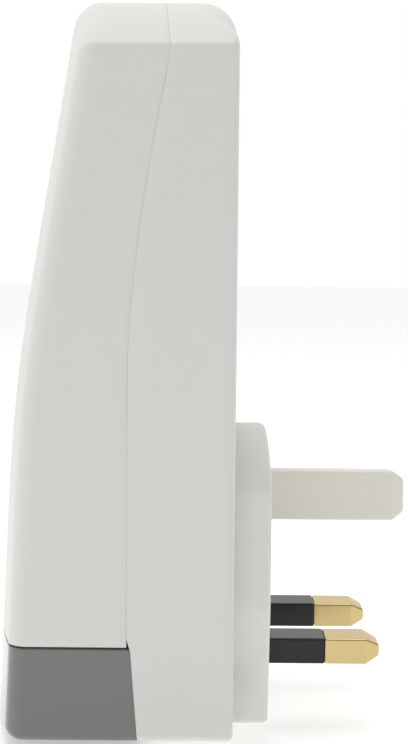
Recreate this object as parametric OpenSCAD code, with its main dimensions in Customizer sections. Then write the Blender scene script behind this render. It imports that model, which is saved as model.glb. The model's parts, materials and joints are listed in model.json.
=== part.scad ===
// Plug-in power meter: a tall moulded case with a three-pin plug low on its back,
// a display and three keys high on its front, and a shuttered outlet below them.
// X is the width, Z is up, the front faces -Y and the plug pins point along +Y.
// The origin lies on the plug's engagement face, midway between live and neutral.

/* [Case] */
// Width of the case across its flat sides
case_w = 60; // [60:0.5:64]
// Height of the side faces' top corners above the live and neutral pins
side_top = 90.2; // [89.8:0.1:91]
// Depth of the side faces' bottom corners below the live and neutral pins
side_drop = 9; // [8.5:0.5:11]
// Rise of the arched top above its corners
top_rise = 9.7; // [9.5:0.1:10.5]
// Drop of the arched base below its corners
base_dip = 4.5; // [3.5:0.5:5]
// Depth of the case at its base, from its back to the middle of its front
base_depth = 36.7; // [36:0.1:38]
// Radius of the front across its width
front_r = 112; // [100:1:130]
// Thickness of the moulded walls
wall = 2.2; // [2:0.1:2.4]
// Height of the top of the grey lower trim above the pins
trim_top = 4.7; // [4:0.1:5]
// Width of the shadow gap above the lower trim
seam_gap = 0.3; // [0.2:0.05:0.4]

/* [Plug] */
// Thickness of the raised pad that the pins stand on
pad_t = 5.5; // [5:0.1:6]
// Width of the pad
pad_w = 50; // [48:0.5:51]
// Distance from the live pin's centre to the neutral pin's
pin_pitch = 22.2; // [22:0.1:22.4]
// Height of the earth pin's centre above the live and neutral pins
earth_rise = 22.2; // [22:0.1:22.4]
// Width of a live or neutral pin
pin_w = 6.35; // [6.3:0.05:6.45]
// Thickness of a live or neutral pin
pin_t = 4; // [3.9:0.05:4.1]
// Length of a live or neutral pin beyond the pad
pin_len = 17.5; // [17.2:0.1:18]
// Length of the insulating sleeve beyond the pad
sleeve_len = 9; // [8.5:0.1:9.5]
// Width of the earth pin
earth_w = 4; // [3.9:0.05:4.1]
// Height of the earth pin's section
earth_h = 8; // [7.9:0.05:8.1]
// Length of the earth pin beyond the pad
earth_len = 22.5; // [22.2:0.1:23]

/* [Display and keys] */
// Width of the clear lens over the display
lens_w = 31; // [29:0.5:31.5]
// Height of the lens
lens_h = 22; // [20:0.5:22.5]
// Height of the lens's centre above the pins
lens_z = 78.5; // [78:0.1:79]
// Width of a key
key_w = 8.4; // [8:0.1:8.6]
// Height of a key
key_h = 6.5; // [6:0.1:6.6]
// Distance between the centres of neighbouring keys
key_pitch = 10.5; // [10.3:0.1:10.8]
// Distance a key travels when it is pressed
key_travel = 0.8; // [0.5:0.1:0.8]

/* [Outlet] */
// Width of the outlet's face
outlet_w = 32; // [31.5:0.5:33]
// Height of the outlet's live and neutral slots above the plug's pins
outlet_z = 23.5; // [23:0.1:24]
// Lean of the outlet's face away from upright, in degrees
outlet_lean = 4.55; // [4:0.05:5]
// Distance the shutter slides to open the slots
shutter_travel = 5.6; // [5.4:0.1:5.8]

/* [Hidden] */
$fn = 48;

white = [0.93, 0.93, 0.91];
grey = [0.45, 0.46, 0.45];
cream = [0.9, 0.88, 0.8];
brass = [0.85, 0.7, 0.4];
black = [0.08, 0.08, 0.09];
board_green = [0.1, 0.35, 0.2];

half_w = case_w / 2;
back_y = -pad_t;
top_z = side_top + top_rise;
base_z = -side_drop - base_dip;
// An arc that rises by a given amount over the case's half width
top_r = (half_w * half_w + top_rise * top_rise) / (2 * top_rise);
base_r = (half_w * half_w + base_dip * base_dip) / (2 * base_dip);
reach = 60;

// The front's middle line is three straight runs: its lean in degrees, and a point on each
low_lean = 2.46;
mid_lean = 6.05;
high_lean = 9.62;
low_point = [back_y - base_depth, -side_drop];
mid_point = [low_point[0] + 2.7, low_point[1] + 47.3];
high_point = [low_point[0] + 6.05, low_point[1] + 72];

// The back curves forward near the top, and the front rounds over into the top
crown_r = 5.2;
crown_start = top_z - crown_r;
crown_turn = 80;
arch_start = side_top - 5;
brow_r = 3.5;
brow_y = back_y - 21.1;
brow_turn = 60;
brow_run = 12;

// Where the front shell meets the rear shell, and how the joint sweeps back
joint_y = -20.9;
joint_bend_z = 45;
joint_turn_z = side_top - 1;
joint_sweep = 5.9;
joint_power = 1.6;
joint_return = 0.13;
trim_joint_y = -20.4;
trim_joint_slope = 0.08;
lip_t = 1.1;
lip_h = 2;
lip_gap = 0.1;
lip_root = 1.5;

// Screws that close the case, and the bosses that take them
screw_x = 24.6;
screw_high_z = 84;
screw_low_z = -2.5;
boss_r = 3.4;
screw_r = 1.25;
screw_head_r = 2.1;
screw_head_h = 1.6;
screw_seat_y = back_y - 5;
screw_fit = 0.05;
screw_len = 15.5;

// The pad's outline
pad_top = 33.4;
pad_top_r = 62;
pad_side_top = 26.6;
pad_side_low = 9;
pad_foot_w = 39;
pad_foot_z = -9.9;
spigot_t = 4;
spigot_w = 40;
spigot_h = 33;
spigot_z = 10;

pin_x = pin_pitch / 2;
pin_tail = 7;
tail_y = back_y - pin_tail;
strap_w = 3;
strap_t = 0.8;
feed_x = 16.5;
pin_neck_w = 5;
pin_neck_t = 2.7;
pin_point = 2.2;
pin_point_t = 1.8;
pin_point_w = 4.2;
earth_point = 1.9;
earth_point_h = 5.4;
earth_point_w = 2.4;

// The display sits in a frame of its own that leans with the upper front
lens_t = 1.2;
lens_set = 0.2;
lens_corner = 3;
window_gap = 0.1;
window_ledge = 2;
display_y = high_point[0] + (lens_z - high_point[1]) * tan(high_lean);
frame_w = 34;
frame_h = 26;
frame_d = 4.8;
glass_w = 32.8;
glass_h = 24.6;
glass_d = 5.2;
glass_t = 2;
strip_h = 1.8;
strip_rise = 11.2;
board_d = 8.4;
board_t = 1.6;
board_half_w = 20.9;
board_low = -25;
board_high = 14;
key_rise = -20.4;
key_back_d = 6;
key_flange_d = 4.9;
key_flange_t = 0.8;
key_clear = 0.35;
key_corner = 2.6;
post_x = 19.2;
post_rise = -14.9;
post_r = 1.5;
post_bore_r = 0.7;
post_bore_d = 3.4;
board_screw_r = 1.4;
board_screw_h = 1.1;
board_hole_r = 0.9;
key_flange_w = 1.2;
key_flange_h = 0.8;
stub_r = 1.6;
controller_w = 10;
controller_rise = 2;
chip_t = 1.4;
mat_half_w = 15;
mat_h = 8.8;
mat_d = 7.6;
dome_r = 2.5;
dome_t = 0.7;

// The outlet's own frame: depth d runs inwards, height h runs up its face from its slots
outlet_y = low_point[0] + 3.2;
face_low = -17;
face_high = 29.5;
face_corner = 6;
face_t = 5;
face_flange = 1.3;
face_flange_d = 2.9;
slot_w = 7.2;
slot_h = 4.8;
earth_slot_w = 4.8;
earth_slot_h = 8.8;
shutter_d = 5.4;
shutter_t = 2;
shutter_half_w = 15.5;
shutter_half_h = 3.2;
stem_half_w = 3.4;
stem_top = 23;
rail_gap = 0.5;
rail_t = 1.2;
rail_h = 14;
rail_rise = -3;
spring_bay_w = 6;
spring_bay_h = 11.6;
spring_bay_rise = -9;
spring_bay_d = 0.6;
foot_half_w = 5;
fit_gap = 0.1;
block_d = 8;
block_end_d = 21;
block_half_w = 19;
block_low = -16;
block_high = 28;
pocket_w = 9.4;
pocket_h = 8;
pocket_end_d = 20;
leaf_gap = 3.7;
leaf_t = 0.8;
leaf_w = 6;
tab_w = 3;
tab_t = 1;
tab_end_d = 23;
spring_r = 1.15;
spring_wire = 0.25;
spring_d = 6.8;
spring_turns = 7;
spring_foot = -14.6;

// The power board stands against the back, above the pins
power_y = -11.5;
power_half_w = 20.8;
power_low = 51;
power_high = 90;
sheet_t = 0.4;
sheet_gap = 0.3;
peg_x = 18;
peg_rise = 3;
peg_r = 1.3;
cell_x = -12.5;
cell_z = 79;
cell_r = 6;
cell_t = 3.2;
clip_w = 5;
clip_h = 13.6;
clip_t = 0.7;
can_r = 1.6;
can_h = 3.4;
shunt_w = 13;
shunt_h = 5;
shunt_rise = 4;
shunt_t = 1;
dropper_size = [17, 8.5, 8];
varistor_size = [9.5, 7, 3.8];
storage_r = 4;
storage_h = 9;
meter_chip_w = 5;
meter_chip_h = 7;
link_x0 = -8;
link_x1 = 6;
link_z0 = 87.2;
link_z1 = 89;
strap_half_h = 2;
neutral_rise = 12;
link_y = -21.55;

// Points on an arc in a plane, from one angle to another
function arc(c, r, from, to, steps) =
    [for (i = [0:steps]) c + r * [cos(from + (to - from) * i / steps), sin(from + (to - from) * i / steps)]];

// Where the joint between the shells lies at a height on the case
function joint_at(z) =
    z > joint_turn_z ? joint_y + joint_sweep - (z - joint_turn_z) * joint_return
    : z > joint_bend_z
        ? joint_y + joint_sweep * pow((z - joint_bend_z) / (joint_turn_z - joint_bend_z), joint_power)
        : joint_y;

// Extrudes an outline drawn in X and Z between two depths
module along_y(y0, y1) {
    translate([0, y1, 0]) rotate([90, 0, 0]) linear_extrude(y1 - y0) children();
}

// Extrudes an outline drawn in Y and Z across the width
module along_x(w) {
    rotate([90, 0, 90]) linear_extrude(w, center = true) children();
}

// A plain block between two corners
module block(a, b) {
    translate(a) cube(b - a);
}

// A block centred on X and Z, from one depth to another
module slab(w, h, y0, y1) {
    block([-w / 2, y0, -h / 2], [w / 2, y1, h / 2]);
}

// A rounded block centred on X and Z, from one depth to another
module pill(w, h, r, y0, y1) {
    union() {
        slab(w - 2 * r, h, y0, y1);
        slab(w, h - 2 * r, y0, y1);
        for (sx = [-1, 1]) for (sz = [-1, 1])
            bar(sx * (w / 2 - r), sz * (h / 2 - r), r, y0, y1);
    }
}

// A round bar along Y
module bar(x, z, r, y0, y1) {
    translate([x, y1, z]) rotate([90, 0, 0]) cylinder(h = y1 - y0, r = r);
}

// The profile of the case's back and top, open to the front
module side_profile(inset) {
    crown_c = [back_y - crown_r, crown_start];
    brow_c = [brow_y, top_z - brow_r];
    brow = arc(brow_c, brow_r - inset, 90, 90 + brow_turn, 6);
    polygon(concat(
        [[-reach, -reach / 2], [back_y - inset, -reach / 2]],
        arc(crown_c, crown_r - inset, 0, crown_turn, 8),
        [[crown_c[0] + (crown_r - inset) * cos(crown_turn) - 2.2, top_z - inset]],
        brow,
        [brow[6] + brow_run * [cos(180 + brow_turn), sin(180 + brow_turn)]]));
}

// One stretch of the front: a wide cylinder that leans with the front's middle line
module front_curve(point, lean, inset) {
    translate([0, point[0], point[1]]) rotate([-lean, 0, 0]) translate([0, front_r, -2 * reach])
        cylinder(h = 4 * reach, r = front_r - inset, $fn = 96);
}

// The whole case's outer form, drawn in by a wall or a fit
module case_form(inset) {
    intersection() {
        along_x(case_w - 2 * inset) side_profile(inset);
        union() {
            translate([0, 0, top_z - top_r]) rotate([90, 0, 0])
                cylinder(h = 4 * reach, r = top_r - inset, center = true, $fn = 96);
            block([-reach, -2 * reach, -reach], [reach, 2 * reach, arch_start]);
        }
        translate([0, 0, base_z + base_r]) rotate([90, 0, 0])
            cylinder(h = 4 * reach, r = base_r - inset, center = true, $fn = 96);
        front_curve(low_point, low_lean, inset);
        front_curve(mid_point, mid_lean, inset);
        front_curve(high_point, high_lean, inset);
    }
}

// A hollow form between two insets
module skin(outer, inner) {
    difference() {
        case_form(outer);
        case_form(inner);
    }
}

// Everything in front of the joint, moved forward by a shift
module before_joint(shift) {
    heights = [for (z = [joint_bend_z:4:joint_turn_z - 1]) z];
    along_x(2 * reach) polygon(concat(
        [[-reach, -reach / 2], [trim_joint_y + trim_joint_slope * (trim_top + reach / 2) - shift, -reach / 2],
         [trim_joint_y - shift, trim_top], [joint_y - shift, trim_top]],
        [for (z = heights) [joint_at(z) - shift, z]],
        [[joint_at(joint_turn_z) - shift, joint_turn_z], [joint_at(2 * side_top) - shift, 2 * side_top],
         [-reach, 2 * side_top]]));
}

// Everything below a height
module below(z) {
    block([-reach, -2 * reach, -reach], [reach, 2 * reach, z]);
}

// Holes or bosses at the places of the upper or the lower pair of case screws
module at_screws(z) {
    for (sx = [-1, 1]) translate([sx * screw_x, 0, z]) children();
}

// The display's own frame, with depth inwards from the front's middle
module on_display() {
    translate([0, display_y, lens_z]) rotate([-high_lean, 0, 0]) children();
}

// The outlet's own frame
module on_outlet() {
    translate([0, outlet_y, outlet_z]) rotate([-outlet_lean, 0, 0]) children();
}

// The pad's outline, grown or drawn in
module pad_outline(inset) {
    w = pad_w / 2 - inset;
    corner = 3;
    top_angle = asin((w - corner / 2) / pad_top_r);
    polygon(concat(
        arc([0, pad_top - pad_top_r], pad_top_r - inset, 90 - top_angle, 90 + top_angle, 12),
        [[-w, pad_side_top], [-w, pad_side_low + 1], [-w + 0.3, pad_side_low - 0.8],
         [-pad_foot_w / 2 - 0.6, pad_foot_z + 1.2 + inset], [-pad_foot_w / 2 + 1, pad_foot_z + inset],
         [pad_foot_w / 2 - 1, pad_foot_z + inset], [pad_foot_w / 2 + 0.6, pad_foot_z + 1.2 + inset],
         [w - 0.3, pad_side_low - 0.8], [w, pad_side_low + 1], [w, pad_side_top]]));
}

module rear_shell() color(white) difference() {
    union() {
        difference() {
            skin(0, wall);
            before_joint(0);
        }
        difference() {
            union() {
                intersection() {
                    skin(wall + lip_gap, wall + lip_gap + lip_t);
                    before_joint(-lip_root);
                }
                difference() {
                    intersection() {
                        skin(wall / 2, wall + lip_gap + lip_t);
                        before_joint(-lip_root);
                    }
                    before_joint(0);
                }
            }
            before_joint(lip_h);
            at_screws(screw_high_z) bar(0, 0, boss_r + 0.3, -reach, joint_at(screw_high_z));
            at_screws(screw_low_z) bar(0, 0, boss_r + 0.3, -reach, joint_y);
            below(trim_top + lip_h + 1);
        }
        intersection() {
            difference() {
                union() {
                    at_screws(screw_high_z) bar(0, 0, boss_r, -reach / 2, back_y);
                    at_screws(screw_low_z) bar(0, 0, boss_r, -reach / 2, back_y);
                }
                before_joint(0);
            }
            case_form(wall / 2);
        }
    }
    for (z = [screw_low_z, screw_high_z]) at_screws(z) {
        bar(0, 0, screw_head_r + 0.15, screw_seat_y, 0);
        bar(0, 0, screw_r + screw_fit, -reach / 2, screw_seat_y + 1);
    }
    translate([0, 0, spigot_z]) slab(spigot_w + 0.2, spigot_h + 0.2, -2 * pad_t, 0);
}

module front_shell() color(white) difference() {
    union() {
        intersection() {
            skin(0, wall);
            before_joint(0);
        }
        intersection() {
            at_screws(screw_high_z) bar(0, 0, boss_r, -reach / 2, joint_at(screw_high_z - boss_r));
            before_joint(0);
            case_form(wall / 2);
        }
        intersection() {
            on_display() for (sx = [-1, 1]) bar(sx * post_x, post_rise, post_r, 0, board_d);
            case_form(wall / 2);
        }
    }
    below(trim_top);
    at_screws(screw_high_z) bar(0, 0, screw_r + screw_fit, screw_seat_y - screw_len - 0.5, 0);
    on_display() {
        for (sx = [-1, 1]) bar(sx * post_x, post_rise, post_bore_r, board_d - post_bore_d, board_d + 1);
        intersection() {
            pill(lens_w + 2 * window_gap, lens_h + 2 * window_gap, lens_corner, -wall, 2 * wall);
            difference() {
                slab(2 * reach, reach, -wall, 4 * wall);
                rotate([high_lean, 0, 0]) translate([0, -display_y, -lens_z]) case_form(lens_set + lens_t);
            }
        }
        pill(lens_w - 2 * window_ledge, lens_h - 2 * window_ledge, lens_corner - 1, -wall, 4 * wall);
        for (i = [-1:1]) translate([i * key_pitch, 0, key_rise])
            pill(key_w + 2 * key_clear, key_h + 2 * key_clear, key_corner + key_clear, -wall, key_back_d);
    }
    on_outlet() translate([0, 0, (face_low + face_high) / 2])
        pill(outlet_w + 0.1, face_high - face_low + 0.1, face_corner, -2 * wall, face_t + wall);
}

module lower_trim() color(grey) difference() {
    union() {
        intersection() {
            skin(0, wall);
            before_joint(0);
            below(trim_top - seam_gap);
        }
        intersection() {
            skin(wall + lip_gap, wall + lip_gap + lip_t);
            before_joint(1);
            below(trim_top + 0.6);
            block([-reach, -reach, trim_top - 3], [reach, 0, reach]);
        }
        intersection() {
            skin(wall / 2, wall + lip_gap + lip_t);
            before_joint(1);
            below(trim_top - seam_gap);
            block([-reach, -reach, trim_top - 3], [reach, 0, reach]);
        }
        intersection() {
            at_screws(screw_low_z) bar(0, 0, boss_r, -reach, 0);
            before_joint(0);
            case_form(wall / 2);
        }
    }
    at_screws(screw_low_z) bar(0, 0, screw_r + screw_fit, screw_seat_y - screw_len - 0.5, 0);
}

module plug_base() color(white) difference() {
    union() {
        along_y(back_y, 0) pad_outline(0);
        translate([0, 0, spigot_z]) slab(spigot_w, spigot_h, back_y - spigot_t, back_y);
    }
    for (sx = [-1, 1]) translate([sx * pin_x, 0, 0]) {
        slab(pin_w + 0.02, pin_t + 0.02, -1, 1);
        slab(pin_neck_w + 0.02, pin_neck_t + 0.02, -2 * pad_t, 0);
    }
    translate([0, 0, earth_rise]) slab(earth_w + 0.02, earth_h + 0.02, back_y - 1, 1);
}

// A flat pin with a tapered point, seen from the side and from above
module pointed_bar(w, t, y0, y1, point, w1, t1) {
    intersection() {
        along_x(2 * w) polygon([[y0, -t / 2], [y1 - point, -t / 2], [y1, -t1 / 2], [y1, t1 / 2],
            [y1 - point, t / 2], [y0, t / 2]]);
        linear_extrude(2 * t, center = true) polygon([[-w / 2, y0], [w / 2, y0], [w / 2, y1 - point],
            [w1 / 2, y1], [-w1 / 2, y1], [-w / 2, y1 - point]]);
    }
}

module earth_pin() color(cream) translate([0, 0, earth_rise])
    pointed_bar(earth_w, earth_h, back_y - 1, earth_len, earth_point, earth_point_w, earth_point_h);

module line_pin() color(brass) union() {
    pointed_bar(pin_w, pin_t, sleeve_len, pin_len, pin_point, pin_point_w, pin_point_t);
    slab(pin_neck_w, pin_neck_t, back_y - pin_tail, sleeve_len + 1);
}

module line_sleeve() color(black) difference() {
    slab(pin_w, pin_t, -1, sleeve_len);
    slab(pin_neck_w, pin_neck_t, -2, sleeve_len + 1);
}

module live_pin() translate([pin_x, 0, 0]) line_pin();

module neutral_pin() translate([-pin_x, 0, 0]) line_pin();

module live_sleeve() translate([pin_x, 0, 0]) line_sleeve();

module neutral_sleeve() translate([-pin_x, 0, 0]) line_sleeve();

module display_lens() color([0.2, 0.22, 0.22]) intersection() {
    on_display() pill(lens_w, lens_h, lens_corner, -wall, 2 * wall);
    skin(lens_set, lens_set + lens_t);
}

module display_frame() color(black) on_display() difference() {
    slab(frame_w, frame_h, frame_d, board_d);
    slab(glass_w + 0.2, glass_h + 0.2, frame_d - 1, board_d + 1);
}

module display_glass() color([0.55, 0.6, 0.5]) on_display()
    slab(glass_w, glass_h, glass_d, glass_d + glass_t);

module light_guide() color([0.9, 0.9, 0.85]) on_display()
    slab(glass_w - 1, 2 * (strip_rise - strip_h / 2 - 0.4), glass_d + glass_t, board_d);

module contact_strips() color([0.75, 0.4, 0.5]) on_display() for (s = [-1, 1])
    translate([0, 0, s * strip_rise]) slab(glass_w - 2, strip_h, glass_d + glass_t, board_d);

module display_board() color(board_green) on_display() difference() {
    block([-board_half_w, board_d, board_low], [board_half_w, board_d + board_t, board_high]);
    for (sx = [-1, 1]) bar(sx * post_x, post_rise, board_hole_r, board_d - 1, board_d + board_t + 1);
}

module controller_chip() color(black) on_display() translate([0, 0, controller_rise])
    slab(controller_w, controller_w, board_d + board_t, board_d + board_t + chip_t);

module key_mat() color([0.75, 0.75, 0.78]) on_display() translate([0, 0, key_rise]) union() {
    slab(2 * mat_half_w, mat_h, mat_d, board_d);
    for (i = [-1:1]) bar(i * key_pitch, 0, dome_r, mat_d - dome_t, mat_d + 0.2);
}

// One key: its cap follows the front, and its flange stops behind the shell
module key_cap(i) color([0.5, 0.51, 0.52]) union() {
    intersection() {
        on_display() translate([i * key_pitch, 0, key_rise])
            pill(key_w, key_h, key_corner, -wall, key_flange_d + key_flange_t);
        case_form(0);
    }
    on_display() translate([i * key_pitch, 0, key_rise]) {
        slab(key_w + key_flange_w, key_h + key_flange_h, key_flange_d, key_flange_d + key_flange_t);
        bar(0, 0, stub_r, key_flange_d, key_back_d);
    }
}

module left_key() key_cap(-1);

module middle_key() key_cap(0);

module right_key() key_cap(1);

module outlet_face() color([0.9, 0.9, 0.88]) on_outlet() difference() {
    union() {
        translate([0, 0, (face_low + face_high) / 2]) {
            pill(outlet_w, face_high - face_low, face_corner, 0, face_t);
            pill(outlet_w + 2 * face_flange, face_high - face_low + 1, face_corner, face_flange_d, face_t);
        }
        for (sx = [-1, 1]) translate([sx * (shutter_half_w + rail_gap + rail_t / 2), 0, rail_rise])
            slab(rail_t, rail_h, face_t - 1, block_d - 2 * fit_gap);
    }
    for (sx = [-1, 1]) translate([sx * pin_x, 0, 0]) slab(slot_w, slot_h, -1, face_t + 1);
    translate([0, 0, earth_rise]) slab(earth_slot_w, earth_slot_h, -1, face_t + 1);
}

module shutter() color([0.85, 0.85, 0.83]) on_outlet() union() {
    slab(2 * shutter_half_w, 2 * shutter_half_h, shutter_d, shutter_d + shutter_t);
    along_x(2 * stem_half_w) polygon([[shutter_d, 0], [shutter_d + shutter_t, 0],
        [shutter_d + shutter_t, stem_top], [shutter_d, stem_top - shutter_t]]);
}

// Centre line of the coil, rising from its foot, at a turn counted from the foot
function coil(turn, foot, rise) =
    [spring_r * cos(360 * turn), spring_r * sin(360 * turn), foot + rise * turn];

module shutter_spring() color([0.7, 0.7, 0.72]) {
    steps = 16;
    sides = 6;
    rings = spring_turns * steps;
    rise = (-shutter_half_h - 0.5 - spring_foot) / spring_turns;
    points = [for (i = [0:rings]) let (a = 360 * i / steps, c = coil(i / steps, spring_foot, rise))
        for (k = [0:sides - 1]) let (b = 360 * k / sides)
            c + spring_wire * [cos(a) * cos(b), sin(a) * cos(b), sin(b)]];
    walls = [for (i = [0:rings - 1]) for (k = [0:sides - 1]) let (n = (k + 1) % sides)
        [i * sides + k, i * sides + n, (i + 1) * sides + n, (i + 1) * sides + k]];
    ends = [[for (k = [sides - 1:-1:0]) k], [for (k = [0:sides - 1]) rings * sides + k]];
    on_outlet() translate([0, spring_d, 0]) polyhedron(points, concat(walls, ends));
}

module contact_block() color([0.3, 0.3, 0.32]) on_outlet() difference() {
    union() {
        block([-block_half_w, block_d, block_low], [block_half_w, block_end_d, block_high]);
        block([-foot_half_w, face_t + fit_gap, block_low], [foot_half_w, block_d, spring_foot - spring_wire]);
    }
    for (sx = [-1, 1]) translate([sx * pin_x, 0, 0]) {
        slab(pocket_w, pocket_h, block_d - 1, pocket_end_d);
        slab(tab_w + fit_gap, tab_t + fit_gap, block_d, block_end_d + 1);
    }
    translate([0, 0, earth_rise]) slab(earth_slot_w, earth_slot_h, block_d - 1, block_end_d + 1);
    translate([0, 0, spring_bay_rise]) slab(spring_bay_w, spring_bay_h, block_d - 1, block_d + spring_bay_d);
}

// A folded contact that grips a pin between two leaves
module line_contact() color(brass) union() {
    outer = leaf_gap + 2 * leaf_t;
    difference() {
        slab(leaf_w, outer, block_d + 1, pocket_end_d - 2 * fit_gap);
        slab(leaf_w + 1, leaf_gap, block_d, pocket_end_d - 1);
    }
    slab(tab_w, tab_t, pocket_end_d - 1, tab_end_d);
}

module live_contact() on_outlet() translate([pin_x, 0, 0]) line_contact();

module neutral_contact() on_outlet() translate([-pin_x, 0, 0]) line_contact();

module power_board() color(board_green) difference() {
    block([-power_half_w, power_y, power_low], [power_half_w, power_y + board_t, power_high]);
    for (sx = [-1, 1]) bar(sx * peg_x, power_low + peg_rise, peg_r, power_y - 1, 0);
}

// A part standing on the front of the power board
module on_power(x, z) {
    translate([x, power_y, z]) children();
}

module metering_chip() color(black) on_power(11, 84) slab(meter_chip_w, meter_chip_h, -chip_t, 0);

module crystal_can() color([0.75, 0.76, 0.78]) on_power(2.5, 84) bar(0, 0, can_r, -can_h, 0);

module current_shunt() color([0.6, 0.5, 0.42]) on_power(12, 60) difference() {
    slab(shunt_w, shunt_h, -shunt_rise, 0);
    slab(shunt_w - 2 * shunt_t, shunt_h + 1, shunt_t - shunt_rise, 1);
}

module dropper_capacitor() color([0.75, 0.2, 0.15]) on_power(-10, 61)
    slab(dropper_size[0], dropper_size[2], -dropper_size[1], 0);

module varistor() color([0.1, 0.25, 0.6]) on_power(12, 71)
    slab(varistor_size[0], varistor_size[2], -varistor_size[1], 0);

module smoothing_capacitor() color([0.15, 0.15, 0.2]) on_power(-2, 72.5) bar(0, 0, storage_r, -storage_h, 0);

module backup_cell() color([0.78, 0.78, 0.8]) on_power(cell_x, cell_z)
    bar(0, 0, cell_r, -cell_t - 1, -1);

module cell_clip() color([0.7, 0.7, 0.68]) on_power(cell_x, cell_z) difference() {
    slab(clip_w, clip_h, -cell_t - 1.1 - clip_t, 0);
    slab(clip_w + 1, clip_h - 2 * clip_t, -cell_t - 1.1, -0.9);
}

module board_link() color([0.2, 0.2, 0.22]) block([link_x0, link_y, link_z0], [link_x1, power_y, link_z1]);

module insulation_sheet() color([0.9, 0.88, 0.75])
    translate([0, power_y + board_t + sheet_gap, 0])
        block([-power_half_w, 0, power_low], [power_half_w, sheet_t, power_high - 2]);

// A strap bent from flat strip: its profile in Y and Z, at a place across the width
module strap(x, profile) {
    translate([x, 0, 0]) along_x(strap_w) polygon(profile);
}

module live_feed_strap() color([0.8, 0.5, 0.35]) union() {
    h = strap_half_h;
    block([pin_x - pin_neck_w / 2, tail_y - strap_t, -h], [feed_x, tail_y, h]);
    strap(feed_x, [[tail_y - strap_t, -h], [tail_y, -h], [tail_y, power_low - 3], [power_y, power_low],
        [power_y, power_low + h], [power_y - strap_t, power_low + h], [power_y - strap_t, power_low],
        [tail_y - strap_t, power_low - 3]]);
}

module live_load_strap() color([0.8, 0.5, 0.35]) on_outlet()
    block([pin_x - strap_w / 2, tab_end_d, -strap_half_h],
        [pin_x + strap_w / 2, tab_end_d + strap_t, block_high + 1]);

module neutral_strap() color([0.8, 0.5, 0.35]) union() {
    tab_y = outlet_y + tab_end_d + 0.02;
    tab_z = outlet_z - tab_end_d * sin(outlet_lean);
    end_y = power_y - fit_gap;
    h = strap_half_h;
    strap(-pin_x, [[tail_y - strap_t, -h], [tail_y, -h], [tail_y, neutral_rise], [tab_y + strap_t, tab_z - h],
        [tab_y + strap_t, tab_z + h], [end_y, power_low - 1], [end_y - strap_t, power_low - 1],
        [tab_y, tab_z + h], [tab_y, tab_z - h], [tail_y - strap_t, neutral_rise]]);
}

module case_screws() color([0.7, 0.71, 0.72]) for (z = [screw_low_z, screw_high_z]) at_screws(z) union() {
    bar(0, 0, screw_head_r, screw_seat_y, screw_seat_y + screw_head_h);
    bar(0, 0, screw_r, screw_seat_y - screw_len, screw_seat_y + 0.1);
}

module board_screws() color([0.7, 0.71, 0.72]) on_display() for (sx = [-1, 1]) union() {
    bar(sx * post_x, post_rise, post_bore_r - screw_fit, board_d - 3, board_d + board_t + fit_gap);
    bar(sx * post_x, post_rise, board_screw_r, board_d + board_t, board_d + board_t + board_screw_h);
}

rear_shell();
front_shell();
lower_trim();
plug_base();
earth_pin();
live_pin();
neutral_pin();
live_sleeve();
neutral_sleeve();
display_lens();
display_frame();
display_glass();
light_guide();
contact_strips();
display_board();
controller_chip();
key_mat();
left_key();
middle_key();
right_key();
outlet_face();
shutter();
shutter_spring();
contact_block();
live_contact();
neutral_contact();
power_board();
metering_chip();
crystal_can();
current_shunt();
dropper_capacitor();
varistor();
smoothing_capacitor();
backup_cell();
cell_clip();
board_link();
insulation_sheet();
live_feed_strap();
live_load_strap();
neutral_strap();
case_screws();
board_screws();
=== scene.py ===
# %% [markdown]
# A plug-in power meter hangs from a wall socket by its own pins. Its case is two moulded white
# shells and a grey trim, with a display, three keys and a shuttered outlet on the front.
# The frame gives every size and place, so this script starts by loading it. Each visible part is
# then rebuilt as a finer mesh, or kept and given softer edges, and every part gets its finish.

# %% Load the frame
import json
import math
import bmesh
import bpy
import numpy as np
from mathutils import Euler, Matrix, Vector


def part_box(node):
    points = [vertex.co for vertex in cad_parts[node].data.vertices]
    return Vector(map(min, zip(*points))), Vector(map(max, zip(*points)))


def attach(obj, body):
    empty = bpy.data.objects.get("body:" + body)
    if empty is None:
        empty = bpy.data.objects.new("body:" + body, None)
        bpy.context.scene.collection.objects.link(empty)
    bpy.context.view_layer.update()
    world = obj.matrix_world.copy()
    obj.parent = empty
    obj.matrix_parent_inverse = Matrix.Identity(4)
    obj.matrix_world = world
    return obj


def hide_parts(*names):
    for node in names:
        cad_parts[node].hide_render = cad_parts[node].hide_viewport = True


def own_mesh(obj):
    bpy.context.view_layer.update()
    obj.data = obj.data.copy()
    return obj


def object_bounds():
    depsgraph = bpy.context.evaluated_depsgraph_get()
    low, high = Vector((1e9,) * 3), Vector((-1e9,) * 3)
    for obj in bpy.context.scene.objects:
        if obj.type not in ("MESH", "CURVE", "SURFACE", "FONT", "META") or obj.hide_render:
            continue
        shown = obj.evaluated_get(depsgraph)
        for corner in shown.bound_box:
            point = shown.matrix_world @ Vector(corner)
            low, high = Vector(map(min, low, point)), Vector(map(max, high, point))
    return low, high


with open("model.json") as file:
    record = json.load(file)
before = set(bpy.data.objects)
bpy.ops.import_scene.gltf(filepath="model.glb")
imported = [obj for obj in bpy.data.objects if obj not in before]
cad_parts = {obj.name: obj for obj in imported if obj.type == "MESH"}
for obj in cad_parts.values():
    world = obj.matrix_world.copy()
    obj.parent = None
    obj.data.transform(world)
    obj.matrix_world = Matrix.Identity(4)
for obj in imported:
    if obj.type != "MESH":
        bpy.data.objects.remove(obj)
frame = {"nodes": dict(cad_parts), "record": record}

cad_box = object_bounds()
nodes = frame["nodes"]
mm = 0.001
print("nodes:", len(nodes), "box:", [tuple(round(c, 4) for c in corner) for corner in cad_box])

# %% [markdown]
# The camera stands a little above the pins and looks at the flat side of the case, so the plug
# points to the right. A long lens close by shows the top's limb and the depth of the pad. It could
# be aimed with a Track To constraint, but a plain place and turn keep the small roll as well.

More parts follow.
